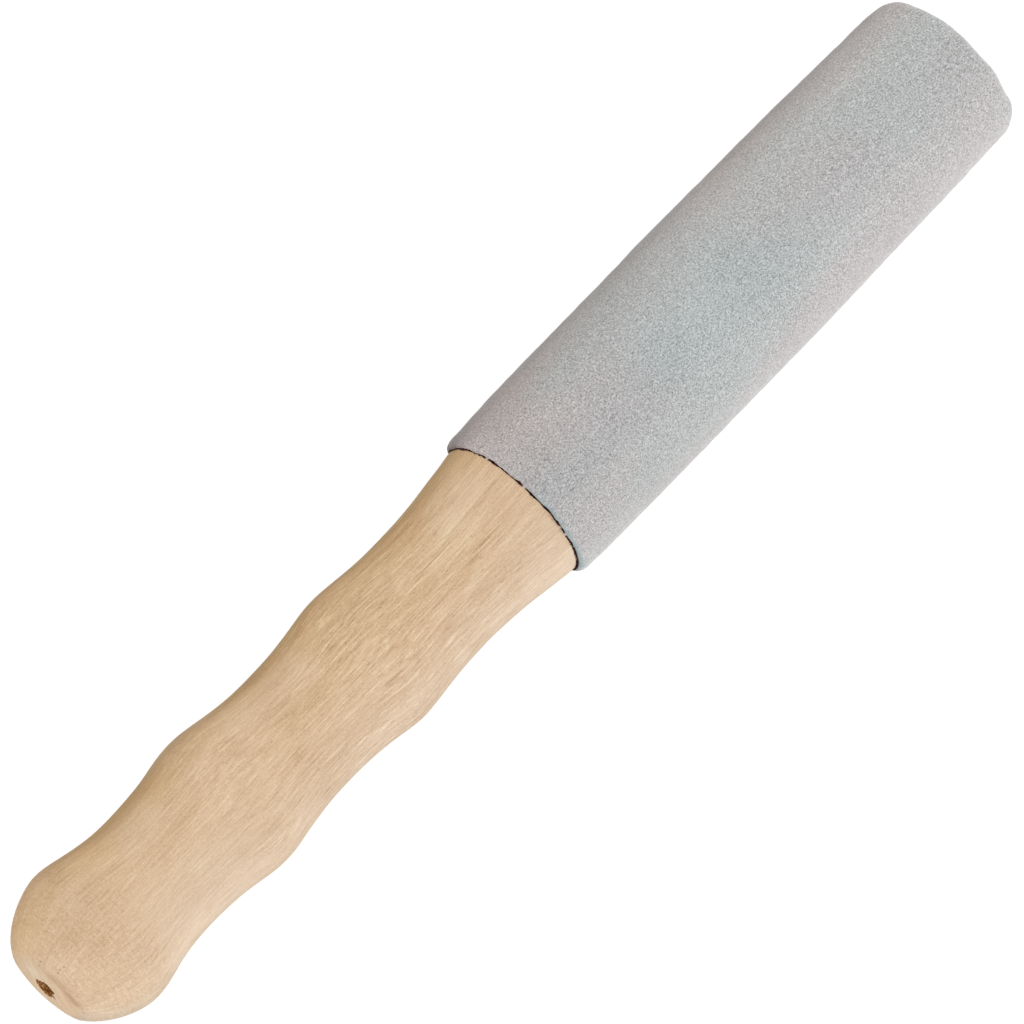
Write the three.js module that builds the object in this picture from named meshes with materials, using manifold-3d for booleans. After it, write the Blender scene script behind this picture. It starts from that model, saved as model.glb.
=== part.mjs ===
// Singing bowl mallet: a hardwood stick turned with three finger waists, whose other half is a
// slightly barrel-shaped core with a suede sleeve glued round it.
// Millimetres. The mallet lies on its side along X, butt at -X and tip at +X. The origin is on
// the surface that the sleeve rests on, at the middle of the length.

import * as THREE from 'three';
import { mergeVertices } from 'three/addons/utils/BufferGeometryUtils.js';
import Module from 'manifold-3d';

const wasm = await Module();
wasm.setup();

// The turned blank: its radius is the core's widest, and everything else is cut below it
const blankRadius = 17.64;

// Handle: distance from each crest or waist to the next, and depth of cut there
const pommelReach = 13.7;
const firstWaistReach = 18.7;
const firstRidgeReach = 19.3;
const secondWaistReach = 19.9;
const secondRidgeReach = 21.5;
const thirdWaistReach = 18.6;
const flareReach = 23.7;
const pommelDepth = 0.79;
const firstWaistDepth = 3.29;
const firstRidgeDepth = 1.44;
const secondWaistDepth = 3.49;
const secondRidgeDepth = 1.64;
const thirdWaistDepth = 2.94;
const buttFaceRadius = 9.5;

// Head: the crowned core under the suede, widest at crownReach from the suede's handle end
const headLength = 134.6;
const crownReach = 62;
const crownArcRadius = 3100;
const tipRound = 2.4;

// Sleeve: split leather on a film of contact cement that creeps out a little at the handle end
const suedeThickness = 1.4;
const suedeEdgeRound = 1.1;
const seamGap = 0.4;
const filmThickness = 0.15;
const filmCreep = 0.4;
const layerClearance = 0.05;

// Marks of the lathe's centres in the two end faces
const buttHoleRadius = 2.7;
const buttHoleDepth = 4;
const tipMarkRadius = 1.5;
const tipMarkDepth = 1.5;

// How far a cutting solid runs past what it cuts
const overrun = 1;

// How full the curves between crests and waists are: each share is the length of a Bezier
// handle over the distance from crest to waist. Ridges are tight and waists are wide.
const crestShare = 0.26;
const waistShare = 0.54;
const pommelRiseShare = 0.64;
const pommelLeanShare = 0.27;
const flareEndShare = 0.2;
const flareSlopeShare = 0.12;

// The seam lies on the underside, turned this part of a turn from straight down towards +Y
const seamTurnShare = 5 / 48;

// Facets round the axis, and straight steps along each curve
const segments = 36;
const curveSteps = 6;
const crownSteps = 6;
const roundSteps = 3;

// Places along the axis, from the butt face
const pommelPlace = pommelReach;
const firstWaistPlace = pommelPlace + firstWaistReach;
const firstRidgePlace = firstWaistPlace + firstRidgeReach;
const secondWaistPlace = firstRidgePlace + secondWaistReach;
const secondRidgePlace = secondWaistPlace + secondRidgeReach;
const thirdWaistPlace = secondRidgePlace + thirdWaistReach;
const sleevePlace = thirdWaistPlace + flareReach;
const tipPlace = sleevePlace + headLength;

// Layers of the head, from the wood outwards
const filmInset = layerClearance;
const suedeInset = filmInset + filmThickness + layerClearance;
const headRadius = blankRadius + suedeInset + suedeThickness;
const axisHeight = headRadius * Math.cos(Math.PI / segments);

// Radius of the wood under the suede: an arc of crownArcRadius that is widest at crownReach.
function coreRadius(place) {
  const offCrown = place - sleevePlace - crownReach;
  return blankRadius - offCrown ** 2 / (2 * crownArcRadius);
}

// The tip is rounded over after gluing, suede and wood alike: a quarter arc whose centre lies
// tipRound inside the suede's outer face and the end face.
const tipArcPlace = tipPlace - tipRound;
const suedeOuterAtTip = coreRadius(tipArcPlace) + suedeInset + suedeThickness;
const tipArcRadius = suedeOuterAtTip - tipRound;

// Place of the rounded tip's surface at a given radius.
function tipSurface(radius) {
  const pastCentre = Math.max(radius - tipArcRadius, 0);
  return tipArcPlace + Math.sqrt(Math.max(tipRound ** 2 - pastCentre ** 2, 0));
}

// Points on the rounded tip from one radius in to a smaller one, at even steps of angle.
function tipArc(outerRadius, innerRadius) {
  const angleAt = (radius) => Math.asin(Math.min(Math.max((radius - tipArcRadius) / tipRound, 0), 1));
  const start = angleAt(outerRadius);
  const end = angleAt(innerRadius);
  const points = [];
  for (let step = 0; step <= roundSteps; step += 1) {
    const angle = start + ((end - start) * step) / roundSteps;
    const place = tipArcPlace + tipRound * Math.cos(angle);
    points.push(new THREE.Vector2(tipArcRadius + tipRound * Math.sin(angle), place));
  }
  return points;
}

// A stretch of outline from one crest or waist to the next: level at both ends, with a Bezier
// handle at each end that is a share of the distance between them.
function outlineStretch(start, end, startShare, endShare) {
  const span = end.y - start.y;
  const curve = new THREE.CubicBezierCurve(
    start,
    new THREE.Vector2(start.x, start.y + startShare * span),
    new THREE.Vector2(end.x, end.y - endShare * span),
    end,
  );
  return curve.getPoints(curveSteps).slice(1);
}

// The butt: from the edge of the flat face, steeply up and over to the pommel's crest.
function pommelStretch(start, end) {
  const rise = end.x - start.x;
  const span = end.y - start.y;
  const curve = new THREE.CubicBezierCurve(
    start,
    new THREE.Vector2(start.x + pommelRiseShare * rise, start.y + pommelLeanShare * span),
    new THREE.Vector2(end.x, end.y - crestShare * span),
    end,
  );
  return curve.getPoints(curveSteps).slice(1);
}

// The flare: from the last waist up into the core's edge, still rising a little there.
function flareStretch(start, end) {
  const span = end.y - start.y;
  const handle = flareEndShare * span;
  const curve = new THREE.CubicBezierCurve(
    start,
    new THREE.Vector2(start.x, start.y + waistShare * span),
    new THREE.Vector2(end.x - flareSlopeShare * handle, end.y - handle),
    end,
  );
  return curve.getPoints(curveSteps).slice(1);
}

// Points along a layer of the head that lies a given inset outside the wood.
function crownPoints(inset, startPlace, endPlace) {
  const points = [];
  for (let step = 0; step <= crownSteps; step += 1) {
    const place = startPlace + ((endPlace - startPlace) * step) / crownSteps;
    points.push(new THREE.Vector2(coreRadius(place) + inset, place));
  }
  return points;
}

// Turn an outline of radius against place round the axis, laid along +X with a flat facet
// straight down, and merge the vertices where the turn closes.
function turned(outline) {
  const lathe = new THREE.LatheGeometry(outline, segments, Math.PI / segments);
  lathe.deleteAttribute('normal');
  lathe.deleteAttribute('uv');
  lathe.rotateZ(-Math.PI / 2);
  lathe.translate(-tipPlace / 2, 0, axisHeight);
  return mergeVertices(lathe);
}

function toSolid(geometry) {
  return new wasm.Manifold(new wasm.Mesh({
    numProp: 3,
    vertProperties: new Float32Array(geometry.attributes.position.array),
    triVerts: new Uint32Array(geometry.index.array),
  }));
}

function toGeometry(solid) {
  const mesh = solid.getMesh();
  const geometry = new THREE.BufferGeometry();
  geometry.setAttribute('position', new THREE.BufferAttribute(mesh.vertProperties, 3));
  geometry.setIndex(new THREE.BufferAttribute(mesh.triVerts, 1));
  return geometry;
}

function finished(name, geometry, colour, roughness) {
  const flatShaded = geometry.toNonIndexed();
  flatShaded.computeVertexNormals();
  const material = new THREE.MeshStandardMaterial({ color: colour, roughness, metalness: 0 });
  const mesh = new THREE.Mesh(flatShaded, material);
  mesh.name = name;
  return mesh;
}

// One stick from end to end: pommel, three waists, flare, crowned core and the two end faces.
function turnedBody() {
  const buttEdge = new THREE.Vector2(buttFaceRadius, 0);
  const pommel = new THREE.Vector2(blankRadius - pommelDepth, pommelPlace);
  const firstWaist = new THREE.Vector2(blankRadius - firstWaistDepth, firstWaistPlace);
  const firstRidge = new THREE.Vector2(blankRadius - firstRidgeDepth, firstRidgePlace);
  const secondWaist = new THREE.Vector2(blankRadius - secondWaistDepth, secondWaistPlace);
  const secondRidge = new THREE.Vector2(blankRadius - secondRidgeDepth, secondRidgePlace);
  const thirdWaist = new THREE.Vector2(blankRadius - thirdWaistDepth, thirdWaistPlace);
  const coreEdge = new THREE.Vector2(coreRadius(sleevePlace), sleevePlace);
  const coreEnd = tipSurface(coreRadius(tipPlace));
  const outline = [
    new THREE.Vector2(0, buttHoleDepth),
    new THREE.Vector2(buttHoleRadius, 0),
    buttEdge,
    ...pommelStretch(buttEdge, pommel),
    ...outlineStretch(pommel, firstWaist, crestShare, waistShare),
    ...outlineStretch(firstWaist, firstRidge, waistShare, crestShare),
    ...outlineStretch(firstRidge, secondWaist, crestShare, waistShare),
    ...outlineStretch(secondWaist, secondRidge, waistShare, crestShare),
    ...outlineStretch(secondRidge, thirdWaist, crestShare, waistShare),
    ...flareStretch(thirdWaist, coreEdge),
    ...crownPoints(0, sleevePlace, coreEnd).slice(1, -1),
    ...tipArc(coreRadius(coreEnd), 0),
    new THREE.Vector2(tipMarkRadius, tipPlace),
    new THREE.Vector2(0, tipPlace - tipMarkDepth),
  ];
  return finished('turned_body', turned(outline), 0xd6b897, 0.55);
}

// A thin sleeve of cement, as long as the suede and creeping out a little on the handle.
function adhesiveFilm() {
  const startPlace = sleevePlace - filmCreep;
  const endPlace = tipSurface(coreRadius(tipPlace) + suedeInset);
  const inner = crownPoints(filmInset, startPlace, endPlace);
  const outer = crownPoints(filmInset + filmThickness, startPlace, endPlace);
  const outline = [...inner, ...outer.reverse(), inner[0]];
  outline.reverse();
  return finished('adhesive_film', turned(outline), 0x2e231c, 0.4);
}

// The suede: a tube with its outer edge rounded at the handle, the tip's rounding at the other
// end, and a narrow slit along the underside where the sheet's two long edges meet.
function suedeWrap() {
  const outerInset = suedeInset + suedeThickness;
  const edgeRound = Math.min(suedeEdgeRound, suedeThickness);
  const innerEnd = tipSurface(coreRadius(tipPlace) + suedeInset);
  const inner = crownPoints(suedeInset, sleevePlace, innerEnd);
  const outer = crownPoints(outerInset, sleevePlace + edgeRound, tipArcPlace);
  const edge = [];
  for (let step = 0; step < roundSteps; step += 1) {
    const angle = (step / roundSteps) * (Math.PI / 2);
    const radius = outer[0].x - edgeRound + edgeRound * Math.sin(angle);
    const place = sleevePlace + edgeRound - edgeRound * Math.cos(angle);
    edge.push(new THREE.Vector2(radius, place));
  }
  const innerRadiusAtTip = inner[crownSteps].x;
  const tip = tipArc(suedeOuterAtTip, innerRadiusAtTip).slice(1);
  const outline = [inner[0], ...edge, ...outer, ...tip, ...inner.reverse()];
  const tube = toSolid(turned(outline));

  const slit = new THREE.BoxGeometry(headLength + 2 * overrun, seamGap, headRadius + overrun);
  slit.translate(sleevePlace + headLength / 2 - tipPlace / 2, 0, -(headRadius + overrun) / 2);
  slit.rotateX(seamTurnShare * 2 * Math.PI);
  slit.translate(0, 0, axisHeight);
  slit.deleteAttribute('normal');
  slit.deleteAttribute('uv');
  const wrap = tube.subtract(toSolid(mergeVertices(slit)));
  return finished('suede_wrap', toGeometry(wrap), 0xb5b5b4, 0.95);
}

const mallet = new THREE.Group();
mallet.name = 'singing_bowl_mallet';
mallet.add(turnedBody(), adhesiveFilm(), suedeWrap());

export default mallet;
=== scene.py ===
from math import asin, cos, pi, radians, sin

import bpy
import numpy as np
from mathutils import Matrix, Vector


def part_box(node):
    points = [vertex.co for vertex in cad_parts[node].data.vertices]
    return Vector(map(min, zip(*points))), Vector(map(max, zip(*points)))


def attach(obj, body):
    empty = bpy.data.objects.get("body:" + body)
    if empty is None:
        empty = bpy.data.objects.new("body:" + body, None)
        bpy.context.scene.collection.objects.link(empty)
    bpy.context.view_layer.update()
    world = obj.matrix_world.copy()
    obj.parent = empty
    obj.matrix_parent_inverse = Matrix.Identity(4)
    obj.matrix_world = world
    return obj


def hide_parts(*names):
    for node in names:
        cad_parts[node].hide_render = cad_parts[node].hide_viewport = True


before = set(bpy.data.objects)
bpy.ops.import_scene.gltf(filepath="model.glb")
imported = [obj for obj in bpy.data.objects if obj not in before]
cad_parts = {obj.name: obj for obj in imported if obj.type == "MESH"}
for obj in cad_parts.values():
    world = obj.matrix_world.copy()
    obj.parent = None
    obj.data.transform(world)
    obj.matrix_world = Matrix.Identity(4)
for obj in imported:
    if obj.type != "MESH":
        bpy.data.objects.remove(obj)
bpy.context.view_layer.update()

# Turned stick
# One hardwood blank turned between the lathe's centres: a pommel, three finger waists, a flare and
# the core that the sleeve is glued round. Sawn flat at both ends, sanded and left bare.

# Angles round the axis are measured from straight down towards +Y. This one faces the photograph.
front = radians(196.6)

axis_height = 0.5 * (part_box("suede_wrap")[0].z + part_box("suede_wrap")[1].z)
butt_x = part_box("turned_body")[0].x

blank_radius = 0.01764
butt_face_radius = 0.0095
crests_and_waists = [
    (0.0137, 0.00079),
    (0.0324, 0.00329),
    (0.0517, 0.00144),
    (0.0716, 0.00349),
    (0.0931, 0.00164),
    (0.1117, 0.00294),
]
sleeve_place = 0.1354
tip_place = 0.27
crown_place = sleeve_place + 0.062
crown_arc_radius = 3.1
tip_round = 0.0024
suede_thickness = 0.0014
suede_inset = 0.00025

butt_crown = 0.00083
butt_hole_radius = 0.0025
butt_hole_depth = 0.0034
tip_mark_radius = 0.0015
tip_mark_depth = 0.0015


def core_radius(place):
    """Radius of the wood under the sleeve: a wide arc, widest at crown_place."""
    return blank_radius - (place - crown_place) ** 2 / (2 * crown_arc_radius)


tip_arc_place = tip_place - tip_round
tip_arc_radius = core_radius(tip_arc_place) + suede_inset + suede_thickness - tip_round


def bezier(start, start_handle, end_handle, end, steps):
    """Cubic Bezier curve at even steps of t, without its start: the four points weighted by
    (1-t)^3, 3t(1-t)^2, 3t^2(1-t) and t^3."""
    t = np.linspace(0, 1, steps + 1)[1:, None]
    weights = [(1 - t) ** 3, 3 * t * (1 - t) ** 2, 3 * t ** 2 * (1 - t), t ** 3]
    corners = [np.array(corner) for corner in (start, start_handle, end_handle, end)]
    return sum(weight * corner for weight, corner in zip(weights, corners))


def stretch(start, end, start_share, end_share, steps):
    """Outline from one crest or waist to the next, level at both ends: a Bezier curve whose handles
    are shares of the distance between them. Ridges are tight (0.26) and waists are wide (0.54)."""
    span = end[0] - start[0]
    start_handle = (start[0] + start_share * span, start[1])
    end_handle = (end[0] - end_share * span, end[1])
    return bezier(start, start_handle, end_handle, end, steps)


def smooth(low, high, value):
    """0 below low, 1 above high, and 3t^2 - 2t^3 between them."""
    t = np.clip((value - low) / (high - low), 0, 1)
    return t * t * (3 - 2 * t)


def hump(value, centre, width):
    """Bell curve, 1 at the centre: e to the minus square of the distance from it over the width."""
    return np.exp(-(((value - centre) / width) ** 2))


def ripple(points, lengths, seed, waves=40):
    """Smooth random field of about unit spread: a sum of cosine waves in random directions, whose
    wavelengths along each axis are about the given ones."""
    random = np.random.default_rng(seed)
    directions = random.normal(size=(waves, 3))
    directions /= np.linalg.norm(directions, axis=1, keepdims=True)
    numbers = 2 * pi * directions / (np.array(lengths) * random.uniform(0.7, 1.4, (waves, 1)))
    phases = random.uniform(0, 2 * pi, waves)
    return np.cos(points @ numbers.T + phases).sum(axis=-1) * np.sqrt(2 / waves)


def round_axis(place, radius, angle):
    """Points at these places along the axis, distances from it and angles round it: x is the butt
    plus place, y is radius times sine, z is the axis height less radius times cosine."""
    place, radius, angle = np.broadcast_arrays(place, radius, angle)
    return np.stack(
        [butt_x + place, radius * np.sin(angle), axis_height - radius * np.cos(angle)], axis=-1
    )


def from_front(angle):
    """Angle from the one that faces the photograph, between -pi and pi."""
    return (angle - front + pi) % (2 * pi) - pi


def hand_cut(turn, offsets):
    """How far a cut made by hand leaves its square line, towards the tip: pairs of degrees from the
    front and millimetres, interpolated between them and then smoothed over 9 degrees to each side."""
    degrees, shifts = zip(*offsets)
    even = np.arange(-180, 180)
    line = 0.001 * np.interp(even, degrees, shifts, period=360)
    reach = 9
    window = np.hanning(2 * reach + 1)
    window = window / window.sum()
    line = np.convolve(np.concatenate([line[-reach:], line, line[:reach]]), window, "valid")
    return np.interp(np.degrees(turn), even, line, period=360)


def edge_shift(turn):
    """The sleeve's handle edge: cut on a slant, furthest from the butt on the underside."""
    offsets = [
        (-140, 2.2), (-120, 2.0), (-110, 1.5), (-100, 0.7), (-90, -0.1), (-78, -0.15),
        (-66, 0.05), (-39, 0.2), (-5, 0.15), (37, 0.5), (60, 0.75), (80, 0.85),
        (90, 0.95), (100, 1.5), (110, 2.0), (140, 2.2), (180, 2.2),
    ]
    return hand_cut(turn, offsets)


def tip_shift(turn):
    """The tip end, wood and leather alike: sawn and sanded a little out of square."""
    offsets = [
        (-150, -0.5), (-110, -0.5), (-85, 0.1), (-72, 0.5), (-62, 0.6), (-54, 0.4), (-46, 0.2),
        (-30, 0.35), (-20, 0.5), (-5, 0.5), (9, 0.2), (17, 0.35), (30, 0.85), (38, 0.5),
        (50, 0.65), (60, 1.35), (70, 1.0), (90, 0.3), (120, -0.3),
    ]
    return hand_cut(turn, offsets)


def grid_faces(rows, columns, rows_closed=False, columns_closed=True):
    """Quads of a grid of points, facing outwards where rows run to the tip and columns turn with
    the angle: corners (r, c), (r, c+1), (r+1, c+1), (r+1, c)."""
    row = np.arange(rows if rows_closed else rows - 1)[:, None]
    column = np.arange(columns if columns_closed else columns - 1)[None, :]
    next_row = (row + 1) % rows
    next_column = (column + 1) % columns
    corners = [
        row * columns + column,
        row * columns + next_column,
        next_row * columns + next_column,
        next_row * columns + column,
    ]
    return np.stack(corners, axis=-1).reshape(-1, 4).tolist()


def add_piece(name, points, faces, marks=None):
    """A smooth-shaded mesh of these points and faces, riding on the mallet, with one named number
    per point for each of the marks."""
    mesh = bpy.data.meshes.new(name)
    mesh.from_pydata(points.tolist(), [], faces)
    mesh.shade_smooth()
    for mark, values in (marks or {}).items():
        mesh.attributes.new(mark, "FLOAT", "POINT").data.foreach_set("value", values.ravel())
    piece = bpy.data.objects.new(name, mesh)
    bpy.context.scene.collection.objects.link(piece)
    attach(piece, "root")
    return piece


def body_outline():
    """Places and radii of the stick's outline, from the edge of the butt face to the tip face: the
    rounded pommel, a stretch from each crest or waist to the next, the flare, the core's wide arc
    and the rounded edge of the tip."""
    turns = [(place, blank_radius - depth) for place, depth in crests_and_waists]
    core_edge = (sleeve_place, core_radius(sleeve_place))
    rise = turns[0][1] - butt_face_radius
    flare_span = core_edge[0] - turns[-1][0]
    flare_handle = 0.313 * flare_span
    flare_slope = 0.119
    parts = [
        np.array([(0, butt_face_radius)]),
        bezier(
            (0, butt_face_radius),
            (0.27 * turns[0][0], butt_face_radius + 0.64 * rise),
            (0.74 * turns[0][0], turns[0][1]),
            turns[0],
            34,
        ),
    ]
    tight, wide = 0.26, 0.54
    for number in range(len(turns) - 1):
        from_crest = number % 2 == 0
        shares = (tight, wide) if from_crest else (wide, tight)
        parts.append(stretch(turns[number], turns[number + 1], *shares, 30))
    parts.append(
        bezier(
            turns[-1],
            (turns[-1][0] + 0.353 * flare_span, turns[-1][1]),
            (core_edge[0] - flare_handle, core_edge[1] - flare_slope * flare_handle),
            core_edge,
            60,
        )
    )
    under_edge = np.linspace(0.0002, 0.002, 10)
    further_in = np.linspace(0.012, 0.131, 12)
    core_places = sleeve_place + np.concatenate([under_edge, further_in])
    parts.append(np.stack([core_places, core_radius(core_places)], axis=1))
    start_angle = asin((core_radius(tip_place) - tip_arc_radius) / tip_round)
    angles = np.linspace(start_angle, 0, 9)
    parts.append(
        np.stack(
            [tip_arc_place + tip_round * np.cos(angles), tip_arc_radius + tip_round * np.sin(angles)],
            axis=1,
        )
    )
    return np.concatenate(parts)


def face_place(radius):
    """Place of the butt face, rubbed to a shallow dome: at a distance r from the axis it stands out
    by the crown times 1 - (r / rim radius) squared."""
    return -butt_crown * (1 - (radius / butt_face_radius) ** 2)


def body_points():
    """Grid of the stick's points: the torn centre hole, the butt face, the outline and the tip face,
    row by row, with 256 columns round the axis. Every row but the torn ones is a circle of the
    outline plus a slight unevenness from hand sanding, and the tip end follows its slanted cut. With
    it, the number of torn rows, which come first, and of rows on the tip face, which come last."""
    angle = np.linspace(0, 2 * pi, 256, endpoint=False)[None, :]
    circle = np.stack([np.sin(angle), -np.cos(angle), 0 * angle], axis=-1)
    turn = from_front(angle)
    outline = body_outline()

    # The hole's edge is torn: its radius wanders, with fibres lying across its wall
    ragged = 0.03 * ripple(3 * circle, (4, 4, 4), 3) + 0.06 * ripple(3 * circle, (0.8, 0.8, 0.8), 4)
    blunt = 0.12 * hump(turn, -1.5, 0.5) - 0.14 * hump(turn, 1.1, 0.3)
    split = 0.3 * hump(turn, 1.6, 0.16) - 0.1 * hump(turn, 2.0, 0.3)
    edge = butt_hole_radius * (1 + 0.35 * np.cos(turn) ** 4 + blunt + split + ragged)
    share = np.array([0.1, 0.22, 0.34, 0.45, 0.55, 0.64, 0.72, 0.79, 0.85, 0.9, 0.94, 0.97, 0.99])
    share = share[:, None]
    hole_place = face_place(edge) * share ** 5 + butt_hole_depth * (1 - share ** 5)
    hole = round_axis(hole_place, share * edge, angle)
    fibres = ripple(hole, (0.0003, 0.004, 0.0006), 5) + 0.7 * ripple(hole, (0.0012, 0.006, 0.0012), 6)
    hole = round_axis(hole_place, share * edge * (1 + 0.05 * fibres * (1 - share ** 12)), angle)

    # The butt face runs from the hole, whose edge is a little crumbled, to its rim
    share = np.concatenate([np.array([0, 0.01, 0.03, 0.06, 0.1]), np.linspace(0.15, 0.98, 34)])[:, None]
    face_radius = edge + share * (butt_face_radius - edge)
    crumbled = 0.0001 * (1 - smooth(0, 0.06, share))
    face = round_axis(face_place(face_radius) + crumbled, face_radius, angle)

    # The handle is a hair fuller on one side of its third crest
    place = outline[:, 0, None]
    fuller = 0.00022 * hump(place, 0.0905, 0.0045) * np.clip(np.sin(turn), 0, 1)
    radius = outline[:, 1, None] + fuller
    turned = round_axis(place, radius, angle)
    bare = smooth(0, 0.004, place) * smooth(sleeve_place - 0.0008, sleeve_place - 0.004, place)
    uneven = 0.00005 * ripple(turned, (0.03, 0.016, 0.016), 7)
    uneven = uneven + 0.00002 * ripple(turned, (0.008, 0.005, 0.005), 8)
    turned = round_axis(place, radius + bare * uneven, angle)

    # The tip face is flat, with the mark of the lathe's centre in its middle
    share = np.array([0.85, 0.6, 0.35, 0.2, 0.12])[:, None]
    end_radius = tip_mark_radius + share * (tip_arc_radius - tip_mark_radius)
    end = round_axis(tip_place, end_radius, angle)
    mark_share = np.array([1.0, 0.75, 0.5, 0.25])[:, None]
    mark_place = tip_place - tip_mark_depth * (1 - mark_share)
    mark = round_axis(mark_place, mark_share * tip_mark_radius, angle)
    grid = np.concatenate([hole, face, turned, end, mark])
    from_axis = np.hypot(grid[..., 1], grid[..., 2] - axis_height)
    place = grid[..., 0] - butt_x
    near_tip = smooth(tip_place - 0.02, tip_place - 0.003, place)
    grid[..., 0] += tip_shift(turn) * near_tip * smooth(0, 0.012, from_axis)

    # The butt face's edge is sanded off, and the pommel leans a hair to one side
    sanded = 0.00024 * hump(from_axis, 0.009, 0.0014) * np.abs(np.sin(turn))
    leaning = 0.00025 * np.sin(turn) * smooth(0.006, 0.014, from_axis)
    grid[..., 0] += (sanded + leaning) * smooth(0.013, 0.003, place)
    return grid, len(hole), len(end) + len(mark) + 1


grid, hole_rows, tip_face_rows = body_points()
rows, columns = grid.shape[:2]
first_pole = round_axis(butt_hole_depth, 0, 0)
last_pole = round_axis(tip_place - tip_mark_depth, 0, 0)
points = np.concatenate([grid.reshape(-1, 3), [first_pole, last_pole]])
faces = grid_faces(rows, columns)
ring = np.arange(columns)
next_ring = (ring + 1) % columns
last_row = (rows - 1) * columns
to_first_pole = 0 * ring + rows * columns
faces += np.stack([to_first_pole, next_ring, ring], axis=-1).tolist()
faces += np.stack([last_row + ring, last_row + next_ring, to_first_pole + 1], axis=-1).tolist()


def body_marks():
    """Numbers per point of the stick. torn is 1 in the centre hole, end is 1 on both sawn faces, chalky
    is 1 on a pale patch beside the hole, rim is 1 along a broken line at the near side of the butt
    face's edge, and stain is 1 in a broken dark brown band on the wood beside the sleeve's edge."""
    from_axis = np.hypot(points[:, 1], points[:, 2] - axis_height)
    turn = from_front(np.arctan2(points[:, 1], axis_height - points[:, 2]))
    place = points[:, 0] - butt_x
    row = np.minimum(np.arange(len(points)) // columns, rows)
    torn = (row < hole_rows) | (np.arange(len(points)) == rows * columns)
    torn = torn * 1.0
    end = np.maximum(smooth(0.0004, -0.0004, place), row >= rows - tip_face_rows)
    lower_right = from_axis * np.sin(turn)
    near_eye = from_axis * np.cos(turn)
    patch = np.exp(-(((lower_right + 0.0042) / 0.0021) ** 2) - ((near_eye - 0.003) / 0.0024) ** 2)
    band = np.exp(-(((lower_right + 0.0003) / 0.0032) ** 2) - ((near_eye - 0.0055) / 0.002) ** 2)
    chalky = smooth(0.0006, -0.0002, place) * (patch + 0.3 * band)
    line = hump(from_axis, 0.0086, 0.0012) * smooth(0.002, 0.0005, place)
    broken = 0.4 + 0.6 * smooth(-1.0, 0.6, ripple(points, (0.003, 0.003, 0.003), 11))
    rim = line * broken * smooth(-0.8, 0.2, turn) * smooth(1.05, 0.8, turn)
    patchy = smooth(-0.6, 0.8, ripple(points, (0.003, 0.0012, 0.0012), 12))
    stain = hump(place - sleeve_place, edge_shift(turn), 0.0006) * patchy
    stain = stain * smooth(0.25, 0.38, turn) * smooth(0.7, 0.58, turn)
    return {"torn": torn, "end": end * (1 - torn), "chalky": chalky, "rim": rim, "stain": stain}


body = add_piece("wooden_body", points, faces, body_marks())
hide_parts("turned_body")


def linear(red, green, blue):
    """A colour written as three sRGB values from 0 to 255, as linear light with alpha 1."""
    shares = [value / 255 for value in (red, green, blue)]
    return [s / 12.92 if s <= 0.04045 else ((s + 0.055) / 1.055) ** 2.4 for s in shares] + [1]


class Field:
    """A socket in a material. Sums, differences and products of it add Math nodes."""

    def __init__(self, finish, socket):
        self.finish = finish
        self.socket = socket

    def math(self, operation, *values):
        return self.finish.node("Math", {"operation": operation}, dict(enumerate(values)))

    def __add__(self, other):
        return self.math("ADD", self, other)

    __radd__ = __add__

    def __sub__(self, other):
        return self.math("SUBTRACT", self, other)

    def __rsub__(self, other):
        return self.math("SUBTRACT", other, self)

    def __mul__(self, other):
        return self.math("MULTIPLY", self, other)

    __rmul__ = __mul__

    def sine(self):
        return self.math("SINE", self)

    def between(self, low, high):
        """0 below low, 1 above high, and smooth between them."""
        settings = {"interpolation_type": "SMOOTHSTEP"}
        sockets = {"Value": self, "From Min": low, "From Max": high}
        return self.finish.node("MapRange", settings, sockets)


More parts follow.
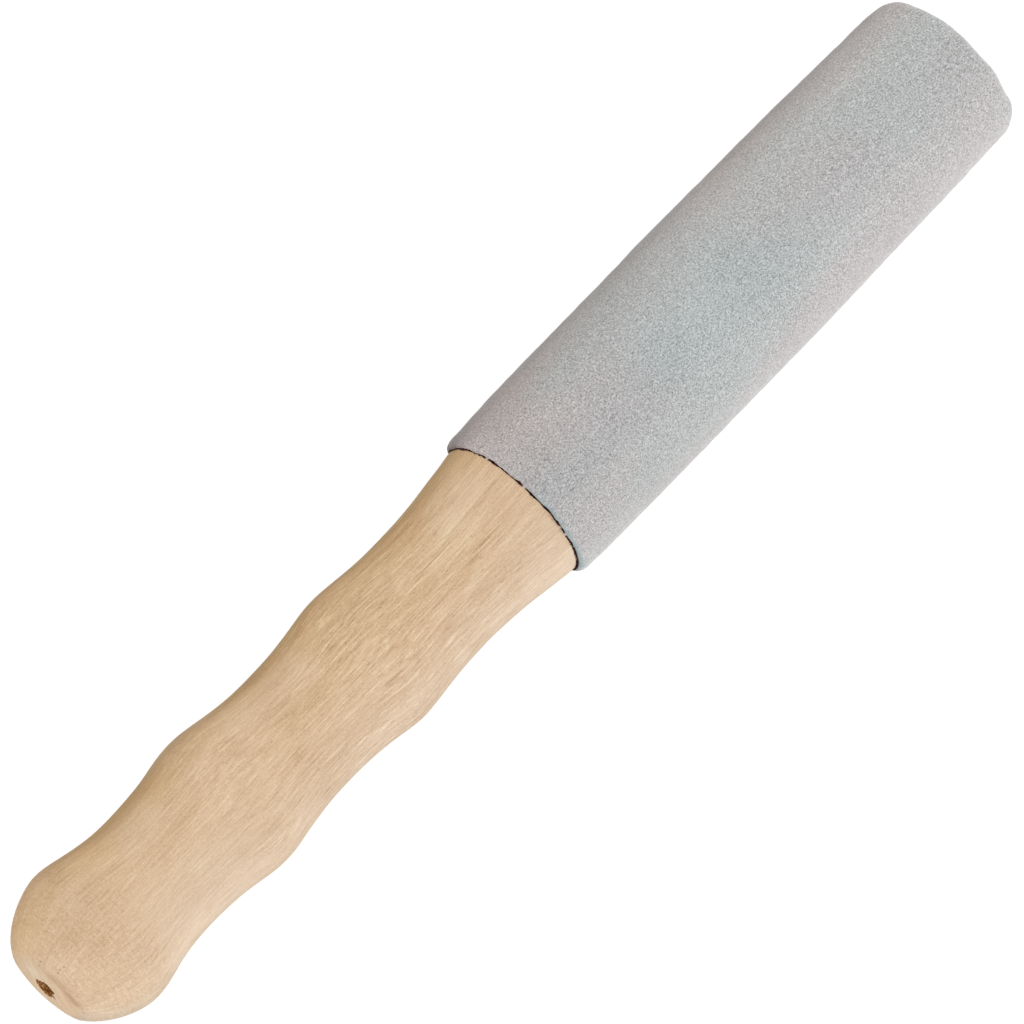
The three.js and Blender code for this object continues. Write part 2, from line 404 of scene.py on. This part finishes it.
class Finish:
    """A procedural material. Every node comes from node(), which sets the node's settings first and
    then gives its sockets values or links."""

    def __init__(self, name, **constants):
        self.material = bpy.data.materials.new(name)
        self.material.use_nodes = True
        self.tree = self.material.node_tree
        self.shader = self.tree.nodes["Principled BSDF"]
        for socket, value in constants.items():
            self.shader.inputs[socket.replace("_", " ")].default_value = value

    def node(self, kind, settings=None, sockets=None, output=0):
        node = self.tree.nodes.new("ShaderNode" + kind)
        for setting, value in (settings or {}).items():
            if setting == "stops":
                while len(node.color_ramp.elements) < len(value):
                    node.color_ramp.elements.new(0.5)
                for element, (position, colour) in zip(node.color_ramp.elements, value):
                    element.position = position
                    element.color = colour
            else:
                setattr(node, setting, value)
        for socket, value in (sockets or {}).items():
            self.join(node.inputs[socket], value)
        return Field(self, node.outputs[output])

    def join(self, socket, value):
        if isinstance(value, Field):
            self.tree.links.new(value.socket, socket)
        else:
            socket.default_value = value

    def feed(self, socket, value):
        self.join(self.shader.inputs[socket], value)

    def place(self):
        """Position in metres, measured from the axis and turned about it so that Y runs across the
        photograph's view, to the upper left, and Z towards it."""
        spot = self.node("TexCoord", output="Object")
        from_axis = self.node("Mapping", {}, {"Vector": spot, "Location": (0, 0, -axis_height)})
        return self.node("Mapping", {}, {"Vector": from_axis, "Rotation": (pi - front, 0, 0)})

    def spoke(self, place):
        """Unit vector from the axis to this place."""
        radial = self.node("VectorMath", {"operation": "MULTIPLY"}, {0: place, 1: (0, 1, 1)})
        return self.node("VectorMath", {"operation": "NORMALIZE"}, {0: radial})

    def part(self, vector, number):
        """One of the three numbers of a vector."""
        return self.node("SeparateXYZ", {}, {0: vector}, output=number)

    def scaled(self, vector, factor):
        """A vector or colour times a number."""
        return self.node("VectorMath", {"operation": "SCALE"}, {0: vector, "Scale": factor})

    def ramp(self, value, stops):
        """Colour between stops: positions from 0 to 1 with red, green and blue shares."""
        stops = [(position, (*colour[:3], 1)) for position, colour in stops]
        return self.node("ValToRGB", {"stops": stops}, {"Fac": value})

    def noise(self, place, along, across, detail=1.0, rough=0.5, turn=0.0, shift=0.0):
        """Noise from 0 to 1 whose cells are this long along the mallet and this wide across it, the
        same both ways or a pair of widths."""
        widths = across if isinstance(across, tuple) else (across, across)
        cells = {
            "Vector": place,
            "Location": (shift, 1.7 * shift, -0.6 * shift),
            "Rotation": (turn, 0, 0),
            "Scale": (1 / along, 1 / widths[0], 1 / widths[1]),
        }
        stretched = self.node("Mapping", {}, cells)
        sockets = {"Vector": stretched, "Scale": 1, "Detail": detail, "Roughness": rough}
        return self.node("TexNoise", {}, sockets)

    def mark(self, name):
        """A number that the mesh carries per point."""
        return self.node("Attribute", {"attribute_name": name}, output="Fac")

    def mix(self, share, first, second, blend="MIX"):
        """Colour that goes from first to second, or to their product."""
        settings = {"data_type": "RGBA", "blend_type": blend}
        return self.node("Mix", settings, {0: share, 6: first, 7: second}, output=2)

    def bump(self, height, distance):
        """Fine relief: a height in shares of this distance in metres."""
        sockets = {"Height": height, "Distance": distance, "Strength": 1}
        self.feed("Normal", self.node("Bump", {}, sockets))


wood = Finish("bare_turned_hardwood", Specular_IOR_Level=0.3)
place = wood.place()
spoke = wood.spoke(place)
along = wood.part(place, 0)
to_lower_right = 0.5 - 0.5 * wood.part(spoke, 1)
near_butt = along.between(-0.11, -0.127)
near_sleeve = along.between(-0.06, -0.008)
beside_sleeve = along.between(-0.018, -0.002)
upper_hand = along.between(-0.095, -0.05) * (1 - 0.7 * beside_sleeve)
end = wood.mark("end")

# Fibres run almost along the turned surface: distances from the axis count for a seventh
pressed = wood.node("VectorMath", {"operation": "MULTIPLY"}, {0: place, 1: (1, 0.15, 0.15)})
grain_radius = 0.0132
outwards = {0: spoke, 1: (0, grain_radius, grain_radius), 2: pressed}
straight = wood.node("VectorMath", {"operation": "MULTIPLY_ADD"}, outwards)
wander = wood.noise(place, 0.014, 0.005, detail=1, shift=47)
sideways = wood.scaled((0, 1, -1), 0.0004 * wander)
surface = wood.node("VectorMath", {"operation": "ADD"}, {0: straight, 1: sideways})

speck = wood.noise(place, 0.0005, 0.00026, detail=1, shift=3)
hair = wood.noise(surface, 0.0048, 0.00036, detail=1.5, turn=0.4, shift=19)
thread = wood.noise(surface, 0.006, 0.00024, detail=1, turn=1.1, shift=37)
gathered = wood.noise(surface, 0.016, 0.0028, detail=1, turn=0.2, shift=31).between(0.38, 0.66)
fibre = wood.noise(surface, 0.011, 0.0008, detail=2, turn=0.9, shift=11)
streak = wood.noise(surface, 0.026, 0.002, detail=2, turn=1.3, shift=7)
mottle = wood.noise(place, 0.012, 0.006, detail=2, shift=5)
cloud = wood.noise(place, 0.06, 0.012, detail=1, shift=1)
end_grain = wood.noise(place, 0.0006, 0.0006, detail=2, shift=29)
chatter = wood.noise(surface, 0.0005, 0.0025, detail=1, shift=41)
pore = wood.noise(surface, 0.0018, 0.00032, detail=1, turn=0.7, shift=17).between(0.69, 0.78)
cream = wood.noise(surface, 0.007, 0.0005, detail=1, shift=43).between(0.58, 0.72)

# The tool cuts short fibres where it climbs on to a crest: chalky on the second and third crests,
# thin and dark on the first
second_crest = along.between(-0.094, -0.087) * along.between(-0.066, -0.079)
second_crest = second_crest * to_lower_right.between(0.75, 0.4)
crests = along.between(-0.053, -0.045) * along.between(-0.033, -0.04) + second_crest
cut_fibre = wood.noise(surface, 0.0024, 0.0008, detail=2, shift=53).between(0.45, 0.68)
first_crest = along.between(-0.1235, -0.1205) * along.between(-0.1145, -0.118)
stroke = wood.noise(surface, 0.0026, 0.00036, detail=1, shift=61).between(0.5, 0.64)

# The third waist has a broad pale streak, a darker one beside it and another pale one at the side
third_waist = along.between(-0.027, -0.02)
pale_streak = to_lower_right.between(0.2, 0.3) * to_lower_right.between(0.5, 0.44)
pale_streak = pale_streak * along.between(-0.008, -0.014)
dark_streak = to_lower_right.between(0.51, 0.57) * to_lower_right.between(0.8, 0.7)
side_streak = to_lower_right.between(0.83, 0.9)
streaks = third_waist * (0.13 * pale_streak - 0.06 * dark_streak + 0.09 * side_streak)
side_tone = (
    0.5
    + streaks
    + 0.6 * (speck - 0.5)
    + (0.25 + (0.35 + 0.4 * upper_hand) * gathered) * (1 - 0.75 * near_butt) * (hair - 0.5)
    + (0.5 - 0.2 * upper_hand) * (1 - 0.5 * near_butt) * (thread - 0.5)
    + (0.25 + 0.1 * upper_hand) * (fibre - 0.5)
    + (0.12 + 0.25 * near_sleeve) * (streak - 0.5)
    + 0.28 * (mottle - 0.5)
    + 0.2 * (cloud - 0.5)
    + 0.15 * crests * (cut_fibre - 0.3)
    - 0.22 * first_crest * gathered * stroke
    + near_butt * (0.25 * (end_grain - 0.5) + 0.3 * (chatter - 0.5))
    + (0.08 + 0.16 * upper_hand) * cream
    - (0.14 + 0.24 * upper_hand) * pore
)

# Growth rings on the end faces bend round a pith that lies outside the blank
flat = wood.node("VectorMath", {"operation": "MULTIPLY"}, {0: place, 1: (0, 1, 1)})
pith = (0.02, 0.034, -0.03)
ring_width = 0.0024
from_pith = wood.node("VectorMath", {"operation": "DISTANCE"}, {0: flat, 1: pith}, output="Value")
rings = (from_pith * (2 * pi / ring_width) + 5 * mottle + 0.8 * end_grain).sine()
end_tone = 0.55 + 0.06 * rings + 0.45 * (end_grain - 0.5) + 0.2 * (mottle - 0.5)
tone = side_tone * (1 - end) + end_tone * end
grain_stops = [(0.0, linear(184, 141, 102)), (0.5, linear(229, 196, 163)), (1.0, linear(255, 233, 205))]
grain_colour = wood.ramp(tone, grain_stops)

# Painted shade and highlight across the handle, fixed to the wood: browner and darker at the
# upper-left edge, dimmer in the middle, paler and bluer towards the lower-right edge
painted_shade_stops = [
    (0.015, (0.63, 0.565, 0.35)),
    (0.05, (0.78, 0.71, 0.53)),
    (0.1, (0.885, 0.87, 0.73)),
    (0.22, (0.895, 0.9, 0.83)),
    (0.55, (0.78, 0.78, 0.73)),
    (0.825, (0.78, 0.785, 0.775)),
    (0.95, (0.85, 0.91, 0.97)),
]
side = wood.ramp(to_lower_right + 0.04 * (cloud - 0.5), painted_shade_stops)
# The same painted shade and highlight on the pommel, darker and bluer at its lower-right edge
pommel_shade_stops = [
    (0, (0.88, 0.86, 0.74)),
    (0.3, (0.84, 0.87, 0.86)),
    (0.9, (0.84, 0.87, 0.87)),
    (1, (0.72, 0.79, 0.84)),
]
pommel_shade = wood.ramp(to_lower_right, pommel_shade_stops)
side = wood.mix(0.7 * near_butt, side, pommel_shade)
side = wood.mix(end, side, (0.86, 0.86, 0.8, 1))
shaded_grain = wood.mix(1.0, grain_colour, side, "MULTIPLY")

# Paler wood beside the sleeve, at the second crest and at the waists' upper left, and painted light
# that grows towards the lower right in the lower hand and beside the sleeve
lower_hand = along.between(-0.122, -0.112) * along.between(-0.08, -0.098)
hollows = along.between(-0.111, -0.103) * along.between(-0.094, -0.1)
hollows = hollows + along.between(-0.08, -0.07) * along.between(-0.051, -0.058)
hollows = hollows + along.between(-0.021, -0.012) * along.between(0.0, -0.007)
upper_left = to_lower_right.between(0.02, 0.12) * to_lower_right.between(0.4, 0.2)
pale_wood_and_painted_light = to_lower_right.between(0.1, 0.85) * (0.2 * lower_hand + 0.12 * beside_sleeve)
pale_wood_and_painted_light = pale_wood_and_painted_light + 0.16 * upper_left * hollows + 0.1 * second_crest + 0.06 * beside_sleeve
paled_wood = wood.mix(pale_wood_and_painted_light, shaded_grain, linear(244, 226, 204))

# The marks on the mesh: chalk beside the hole, the butt face's rim, and a dark brown band beside
# the sleeve's edge
chalky = wood.mix((0.3 + 0.5 * end_grain) * wood.mark("chalky"), paled_wood, linear(232, 220, 198))
rim_line = wood.mix((0.3 + 0.4 * end_grain) * wood.mark("rim"), chalky, linear(164, 112, 76))
with_brown_band = wood.mix(0.75 * wood.mark("stain"), rim_line, linear(112, 66, 38))

# Pin knots near the butt, dark specks at points measured from the butt on the axis, across and out
spots = [
    ((0.0005, 0.0044, 0.0091), 0.0002),
    ((-0.0001, 0.0041, 0.0081), 0.00028),
    ((0.0023, 0.0004, 0.0119), 0.00018),
    ((0.0016, 0.0006, 0.0112), 0.00018),
    ((0.001, 0.0004, 0.0106), 0.0002),
    ((-0.0008, -0.0025, -0.0003), 0.0003),
]
knots = 0
for (spot_along, spot_across, spot_out), spot_radius in spots:
    centre = (butt_x + spot_along, spot_across, spot_out)
    distance = wood.node("VectorMath", {"operation": "DISTANCE"}, {0: place, 1: centre}, output="Value")
    knots = distance.between(1.6 * spot_radius, 0.4 * spot_radius) + knots
knotted = wood.mix(0.55 * knots, with_brown_band, linear(130, 84, 50))

# The hole's torn wall, pale fibres over dark
torn_fibre = wood.noise(place, 0.00022, (0.0016, 0.0003), detail=2, shift=23).between(0.42, 0.66)
torn_colour = wood.mix(torn_fibre, linear(130, 78, 32), linear(228, 178, 112))
wood.feed("Base Color", wood.mix(wood.mark("torn").between(0.2, 0.8), knotted, torn_colour))
wood.feed("Roughness", 0.5 + 0.14 * (fibre - 0.5) + 0.15 * wood.mark("torn"))
wood.bump(0.6 * speck + (1 - end) * (hair + 0.4 * fibre - 0.7 * pore) + 0.5 * end * end_grain, 0.00003)
body.data.materials.append(wood.material)

# Cement line
# Dark contact cement brushed on the core and on the back of the leather. It dries to a thin skin
# between them and shows as a broken dark bead where the sleeve ends on the handle.


def cement_points():
    """A closed profile swept round the axis: out from under the sleeve's edge as a bead whose width
    and height wander, along the core to the tip, and back along the wood. The bead thins away at
    a few gaps, and breaks into drops where the knife pulled it."""
    angle = np.linspace(0, 2 * pi, 720, endpoint=False)[None, :]
    circle = 17 * np.stack([np.sin(angle), -np.cos(angle), 0 * angle], axis=-1)
    turn = from_front(angle)
    wander = ripple(circle, (2.2, 2.2, 2.2), 21) + 0.6 * ripple(circle, (0.7, 0.7, 0.7), 22)
    broad = 0.28 - 0.12 * smooth(-0.7, -1.0, turn) + 0.16 * smooth(0.35, 0.8, turn)
    creep = 0.001 * np.clip(broad + 0.05 * wander, 0.1, 0.52)
    gaps = [(-53, 0.8), (-48, 1.0), (-44, 0.8), (33, 1.2), (112, 3), (166, 2), (-128, 2)]
    for degrees, width in gaps:
        creep = creep * (1 - 0.9 * hump(turn, radians(degrees), radians(width)))
    drops = smooth(0.75, 0.9, turn) * smooth(1.8, 1.6, turn)
    creep = creep * (1 - 0.7 * drops * smooth(0.1, 0.8, np.sin(110 * turn + 2.5 * wander)))
    start = sleeve_place + edge_shift(turn) - creep
    under = sleeve_place + edge_shift(turn) + 0.0008
    proud = 0.00003 * ripple(circle, (1.3, 1.3, 1.3), 23)
    swollen = 0.0003 * smooth(radians(66), radians(84), turn) * smooth(radians(122), radians(106), turn)
    end = tip_place - 0.0009 + np.minimum(tip_shift(turn), 0)
    outer = [
        (start, 0.00006 + 0 * angle),
        (start + 0.15 * creep, 0.00016 + proud + 0.6 * swollen),
        (start + 0.5 * creep, 0.00022 + proud + swollen),
        (start + 0.9 * creep, 0.00022 + 0.5 * proud + swollen),
        (under, 0.0002 + 0 * angle),
    ]
    outer += [(under + share * (end - under), 0.0002 + 0 * angle) for share in np.linspace(0.1, 1, 10)]
    inner = [(under + share * (end - under), 0.00004 + 0 * angle) for share in np.linspace(1, 0, 10)]
    inner += [(start + creep, 0.00004 + 0 * angle)]
    rings = [round_axis(along, core_radius(along) + inset, angle)[0] for along, inset in outer + inner]

    # Pale fibres of leather are stuck in the bead at three places
    pale = sum(hump(turn, radians(degrees), radians(1.1)) for degrees in (-38.5, -5, 39.6))
    return np.stack(rings), pale * np.ones((len(rings), 1))


cement_grid, cement_pale = cement_points()
cement_faces = grid_faces(*cement_grid.shape[:2], rows_closed=True)
cement_line = add_piece("cement_line", cement_grid.reshape(-1, 3), cement_faces, {"pale": cement_pale})
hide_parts("adhesive_film")

cement = Finish("dried_contact_cement", Specular_IOR_Level=0.15)
place = cement.place()
smear = cement.noise(place, 0.0012, 0.0012, detail=3, shift=2)
dried = cement.mix(smear.between(0.42, 0.7), linear(22, 4, 12), linear(84, 38, 40))
cement.feed("Base Color", cement.mix(cement.mark("pale"), dried, linear(214, 204, 200)))
cement.feed("Roughness", 0.6 + 0.3 * smear)
cement.bump(smear, 0.00008)
cement_line.data.materials.append(cement.material)

# Suede sleeve
# One rectangle of grey split leather, nap outwards, wrapped once round the core and butted along a
# straight seam on the underside. Its handle edge is cut and skived round, its tip edge is sanded over.

seam_angle = radians(37.5)
seam_half_gap = 0.0002


def sleeve_profile(corner, reach):
    """Places and radii of the sleeve's closed profile: up the cut edge, round its corner, which is
    this deep and reaches this far along, on along the outside, over the tip and back. With it, a mark
    that is 1 on the cut edge, and one that is 1 everywhere but inside."""
    corner_angles = np.linspace(0, pi / 2, 8)[:-1]
    arc_start = suede_thickness - corner
    up_the_cut = arc_start * np.array([0, 0.3, 0.6, 0.85])
    edge_place = np.concatenate([0 * up_the_cut, reach - reach * np.cos(corner_angles)])
    edge_height = np.concatenate([up_the_cut, arc_start + corner * np.sin(corner_angles)])
    near_edge = np.linspace(reach, 0.005, 20)
    middle = np.linspace(0.0058, 0.1275, 130)
    near_tip = np.linspace(0.1281, 0.1322, 12)
    outside = np.concatenate([near_edge, middle, near_tip])
    place = sleeve_place + np.concatenate([edge_place, outside])
    height = np.concatenate([edge_height, suede_thickness + 0 * outside])
    radius = core_radius(place) + suede_inset + height

    inner_end = core_radius(tip_place) + suede_inset
    angles = np.linspace(pi / 2, asin((inner_end - tip_arc_radius) / tip_round), 14)[1:]
    place = np.concatenate([place, tip_arc_place + tip_round * np.cos(angles)])
    radius = np.concatenate([radius, tip_arc_radius + tip_round * np.sin(angles)])

    inside = np.linspace(place[-1], sleeve_place, 14)[1:-1]
    cut = np.zeros(len(place) + len(inside))
    corner_end = len(up_the_cut) + len(corner_angles)
    cut[:len(up_the_cut)] = 1
    cut[len(up_the_cut):corner_end] = np.linspace(1, 0.3, len(corner_angles))
    place = np.concatenate([place, inside])
    radius = np.concatenate([radius, core_radius(inside) + suede_inset])
    loose = np.ones(len(place))
    loose[-len(inside):] = 0
    return place[:, None], radius[:, None], cut[:, None], loose[:, None]


def sleeve_points():
    """The profile swept from one long edge of the leather round to the other, 400 columns, closer
    together where the edges roll in at the seam. The outside swells and sinks a little, and the
    handle edge follows its slanted, slightly frayed cut, square on one side and skived on the other."""
    square_place, square_radius, cut, loose = sleeve_profile(0.0004, 0.0004)
    skived_place, skived_radius, cut, loose = sleeve_profile(0.0011, 0.0028)
    leather_radius = 0.0183
    gap = seam_half_gap / leather_radius
    near = np.array([0, 0.002, 0.005, 0.01, 0.018, 0.03, 0.045])
    angle = np.concatenate(
        [near + gap, np.linspace(gap + 0.06, 2 * pi - gap - 0.06, 386), 2 * pi - gap - near[::-1]]
    )[None, :]
    angle = angle + seam_angle
    turn = from_front(angle)
    near_side = smooth(-0.35, 0.5, np.sin(turn))
    square = near_side * smooth(radians(95), radians(65), turn)
    profile_place = skived_place + square * (square_place - skived_place)
    profile_radius = skived_radius + square * (square_radius - skived_radius)
    from_handle = profile_place - sleeve_place
    shift = edge_shift(turn) * smooth(0.03, 0, from_handle)
    shift = shift + tip_shift(turn) * smooth(tip_place - 0.02, tip_place - 0.003, profile_place)
    circle = 18 * np.stack([np.sin(angle), -np.cos(angle), 0 * angle], axis=-1)
    fray = 0.00004 * ripple(circle, (0.8, 0.8, 0.8), 31) + 0.00006 * ripple(circle, (3, 3, 3), 32)
    shift = shift + fray * smooth(0.002, 0, from_handle)
    surface = round_axis(profile_place, profile_radius, angle)
    swell = 0.00006 * ripple(surface, (0.03, 0.012, 0.012), 33)
    swell = swell + 0.000025 * ripple(surface, (0.004, 0.004, 0.004), 34)
    from_seam = np.minimum(angle - seam_angle - gap, 2 * pi - gap - angle + seam_angle)
    rolled = 0.00045 * (1 - smooth(0, 0.05, from_seam)) ** 2
    lifted = 0.00022 * smooth(0.02, 0.009, from_handle) * np.clip(np.sin(turn), 0, 1)

    # Sanded thinner towards the tip on one side
    above_core = profile_radius - core_radius(profile_place) - suede_inset
    height = np.clip(above_core / suede_thickness, 0, 1)
    thinned = 0.00047 * height * smooth(0.2635, 0.2695, profile_place) * hump(turn, -1.65, 0.6)
    shaped = loose * (1 - 0.6 * cut) * (swell + lifted) - thinned
    clear_of_core = profile_radius > 0.0172
    radius = profile_radius + shaped - loose * clear_of_core * rolled
    grid = round_axis(profile_place + shift, radius, angle)
    grid[..., 2] = np.maximum(grid[..., 2], 0.00002)
    # Painted shade on the upper-left flank, within 12 mm of the handle edge
    handled = smooth(radians(-50), radians(-88), turn) * smooth(radians(-150), radians(-110), turn)
    return grid, {"cut": cut * near_side, "handled": handled * smooth(0.012, 0, from_handle)}


sleeve_grid, sleeve_marks = sleeve_points()
rows, columns = sleeve_grid.shape[:2]
sleeve_faces = grid_faces(rows, columns, rows_closed=True, columns_closed=False)
sleeve_faces.append([row * columns for row in range(rows)])
sleeve_faces.append([row * columns + columns - 1 for row in reversed(range(rows))])
sleeve = add_piece("suede_sleeve", sleeve_grid.reshape(-1, 3), sleeve_faces, sleeve_marks)
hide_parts("suede_wrap")

suede = Finish(
    "brushed_grey_suede", Specular_IOR_Level=0.3, Roughness=0.9, Sheen_Weight=0.5, Sheen_Roughness=0.45
)
place = suede.place()
nap = suede.noise(place, 0.00034, 0.00034, detail=1.5, rough=0.6, shift=4)
tuft = suede.noise(place, 0.0018, 0.0018, detail=1, shift=9)
patch = suede.noise(place, 0.03, 0.016, detail=2, shift=6)
tint = suede.noise(place, 0.04, 0.02, detail=1, shift=13).between(0.35, 0.65)
hide = suede.mix(tint, linear(184, 187, 187), linear(188, 185, 185))

# Painted shade and highlight across the sleeve, fixed to the leather: dark at the upper-left edge,
# dimmer in the middle and lighter on the flanks
suede_shade_stops = [
    (0.015, (0.62, 0.575, 0.565)),
    (0.05, (0.885, 0.85, 0.84)),
    (0.1, (0.98, 0.96, 0.955)),
    (0.17, (1.0, 1.0, 1.0)),
    (0.3, (0.955, 0.975, 0.98)),
    (0.5, (0.84, 0.866, 0.878)),
    (0.65, (0.85, 0.87, 0.875)),
    (0.77, (0.935, 0.935, 0.935)),
    (0.98, (0.94, 0.925, 0.92)),
]
to_lower_right = 0.5 - 0.5 * suede.part(suede.spoke(place), 1)
along = suede.part(place, 0)

# The dye took unevenly: warmer beside the handle, then a cooler and slightly paler patch; over
# another patch the painted shade is lighter
blush = along.between(0.024, 0.01) * to_lower_right.between(0.6, 0.45)
hide = suede.mix(0.6 * blush, hide, linear(193, 184, 183))
cool = along.between(0.026, 0.042) * along.between(0.078, 0.062) * to_lower_right.between(0.75, 0.55)
hide = suede.mix(0.6 * cool, hide, linear(181, 188, 189))
paler = along.between(0.006, 0.02) * along.between(0.066, 0.056) * to_lower_right.between(0.15, 0.35)
paler = paler * to_lower_right.between(0.6, 0.45)
less_shaded_patch = along.between(0.036, 0.05) * along.between(0.068, 0.054) * to_lower_right.between(0.2, 0.5)
suede_shade = suede.mix(0.5 * less_shaded_patch, suede.ramp(to_lower_right, suede_shade_stops), (0.975, 0.985, 0.985, 1))
# Painted light and shade: lighter towards the tip, darker under the painted edge shade
far_end = along.between(0.0, 0.12)
painted_light_and_shade = (0.95 + 0.1 * far_end) * (1 - 0.36 * suede.mark("handled"))
shade = painted_light_and_shade * (1 + 2.1 * (nap - 0.5) + 0.05 * (tuft - 0.5) + 0.12 * (patch - 0.5) + 0.05 * paler)
shaded_hide = suede.mix(1.0, hide, suede_shade, "MULTIPLY")
napped = suede.scaled(shaded_hide, shade)
fuzz = suede.scaled(linear(156, 173, 179)[:3], 0.3 + 1.4 * nap)
suede.feed("Base Color", suede.mix(suede.mark("cut").between(0.2, 0.8), napped, fuzz))
suede.bump(nap + 0.3 * tuft, 0.00005)
sleeve.data.materials.append(suede.material)

# Studio
# A pale floor that the sleeve rests on, white to the camera except for the mallet's soft shadow,
# and soft lamps whose light adds up to about the level at which a colour renders as written.

floor_mesh = bpy.data.meshes.new("studio_floor")
floor_corners = [(-1.1, -1.1, 0), (1.1, -1.1, 0), (1.1, 1.1, 0), (-1.1, 1.1, 0)]
floor_mesh.from_pydata(floor_corners, [], [(0, 1, 2, 3)])
floor = bpy.data.objects.new("studio_floor", floor_mesh)
bpy.context.scene.collection.objects.link(floor)
paper = Finish("white_paper", Roughness=0.9, Specular_IOR_Level=0.1, Base_Color=(0.85, 0.85, 0.85, 1))
white = paper.node("Emission", {}, {"Color": (1, 1, 1, 1), "Strength": 1.15})
rays = paper.node("LightPath", output="Is Camera Ray")
shown = paper.node("MixShader", {}, {0: 0.8 * rays, 1: Field(paper, paper.shader.outputs[0]), 2: white})
paper.join(paper.tree.nodes["Material Output"].inputs["Surface"], shown)
floor_mesh.materials.append(paper.material)


def strip_lamp(name, rise, power, colour, width):
    """A long lamp that lies along the mallet and faces it, at an angle of rise from level on the -Y
    side, over the top, towards +Y."""
    length = 1.4
    distance = 1.2
    light = bpy.data.lights.new(name, "AREA")
    light.shape = "RECTANGLE"
    light.size = length
    light.size_y = width
    light.energy = power
    light.color = colour
    lamp = bpy.data.objects.new(name, light)
    along = Vector((1, 0, 0))
    outward = Vector((0, -cos(rise), sin(rise)))
    turned = Matrix((along, outward.cross(along), outward)).transposed().to_4x4()
    spot = distance * outward + Vector((0, 0, axis_height))
    lamp.matrix_world = Matrix.Translation(spot) @ turned
    bpy.context.scene.collection.objects.link(lamp)


strip_lamp("low_front", radians(2), 6.6, (0.99, 1, 1), width=0.2)
strip_lamp("front", radians(40), 4.6, (1, 1, 1), width=0.3)
strip_lamp("high_front", radians(65), 3.2, (1, 1, 1), width=0.3)
strip_lamp("back", radians(127), 7.9, (1, 0.94, 0.9), width=0.3)


def end_lamp(name, outward, power):
    """A round lamp in this direction from the mallet, that faces one of its ends."""
    distance = 1.3
    light = bpy.data.lights.new(name, "AREA")
    light.shape = "DISK"
    light.size = 0.5
    light.energy = power
    lamp = bpy.data.objects.new(name, light)
    outward = Vector(outward).normalized()
    turned = outward.to_track_quat("Z", "Y").to_matrix().to_4x4()
    lamp.matrix_world = Matrix.Translation(distance * outward) @ turned
    bpy.context.scene.collection.objects.link(lamp)


end_lamp("butt_side", (-0.97, -0.1, 0.2), 5.5)
end_lamp("tip_side", (0.97, -0.1, 0.25), 6.0)

# A dim even light comes from all round, and the camera sees plain white past the floor
world = bpy.data.worlds.new("studio")
world.use_nodes = True
bpy.context.scene.world = world
background = world.node_tree.nodes["Background"]
background.inputs["Color"].default_value = (1, 1, 1, 1)
background.inputs["Strength"].default_value = 0.12
seen = world.node_tree.nodes.new("ShaderNodeBackground")
seen.inputs["Color"].default_value = (1, 1, 1, 1)
seen.inputs["Strength"].default_value = 1
path = world.node_tree.nodes.new("ShaderNodeLightPath")
choice = world.node_tree.nodes.new("ShaderNodeMixShader")
world.node_tree.links.new(path.outputs["Is Camera Ray"], choice.inputs[0])
world.node_tree.links.new(background.outputs[0], choice.inputs[1])
world.node_tree.links.new(seen.outputs[0], choice.inputs[2])
world.node_tree.links.new(choice.outputs[0], world.node_tree.nodes["World Output"].inputs["Surface"])

# Camera
# A long lens from above the butt, in front of and to the side of the mallet.

camera_data = bpy.data.cameras.new("camera")
camera_data.sensor_width = 36
camera_data.lens = 246.1
camera_data.clip_end = 20
camera = bpy.data.objects.new("camera", camera_data)
bpy.context.scene.collection.objects.link(camera)
backward = Vector((-0.3057, -0.2716, 0.9126)).normalized()
rightward = Vector((0, 0, 1)).cross(backward).normalized()
upward = backward.cross(rightward)
lower_right = Vector((0, -0.9585, -0.2853))
aim = Vector((0.0005, 0, axis_height)) + 0.000267 * lower_right
camera_distance = 1.402
turned = Matrix((rightward, upward, backward)).transposed().to_4x4()
camera.matrix_world = Matrix.Translation(aim + camera_distance * backward) @ turned
bpy.context.scene.camera = camera
bpy.context.scene.view_settings.view_transform = "Standard"
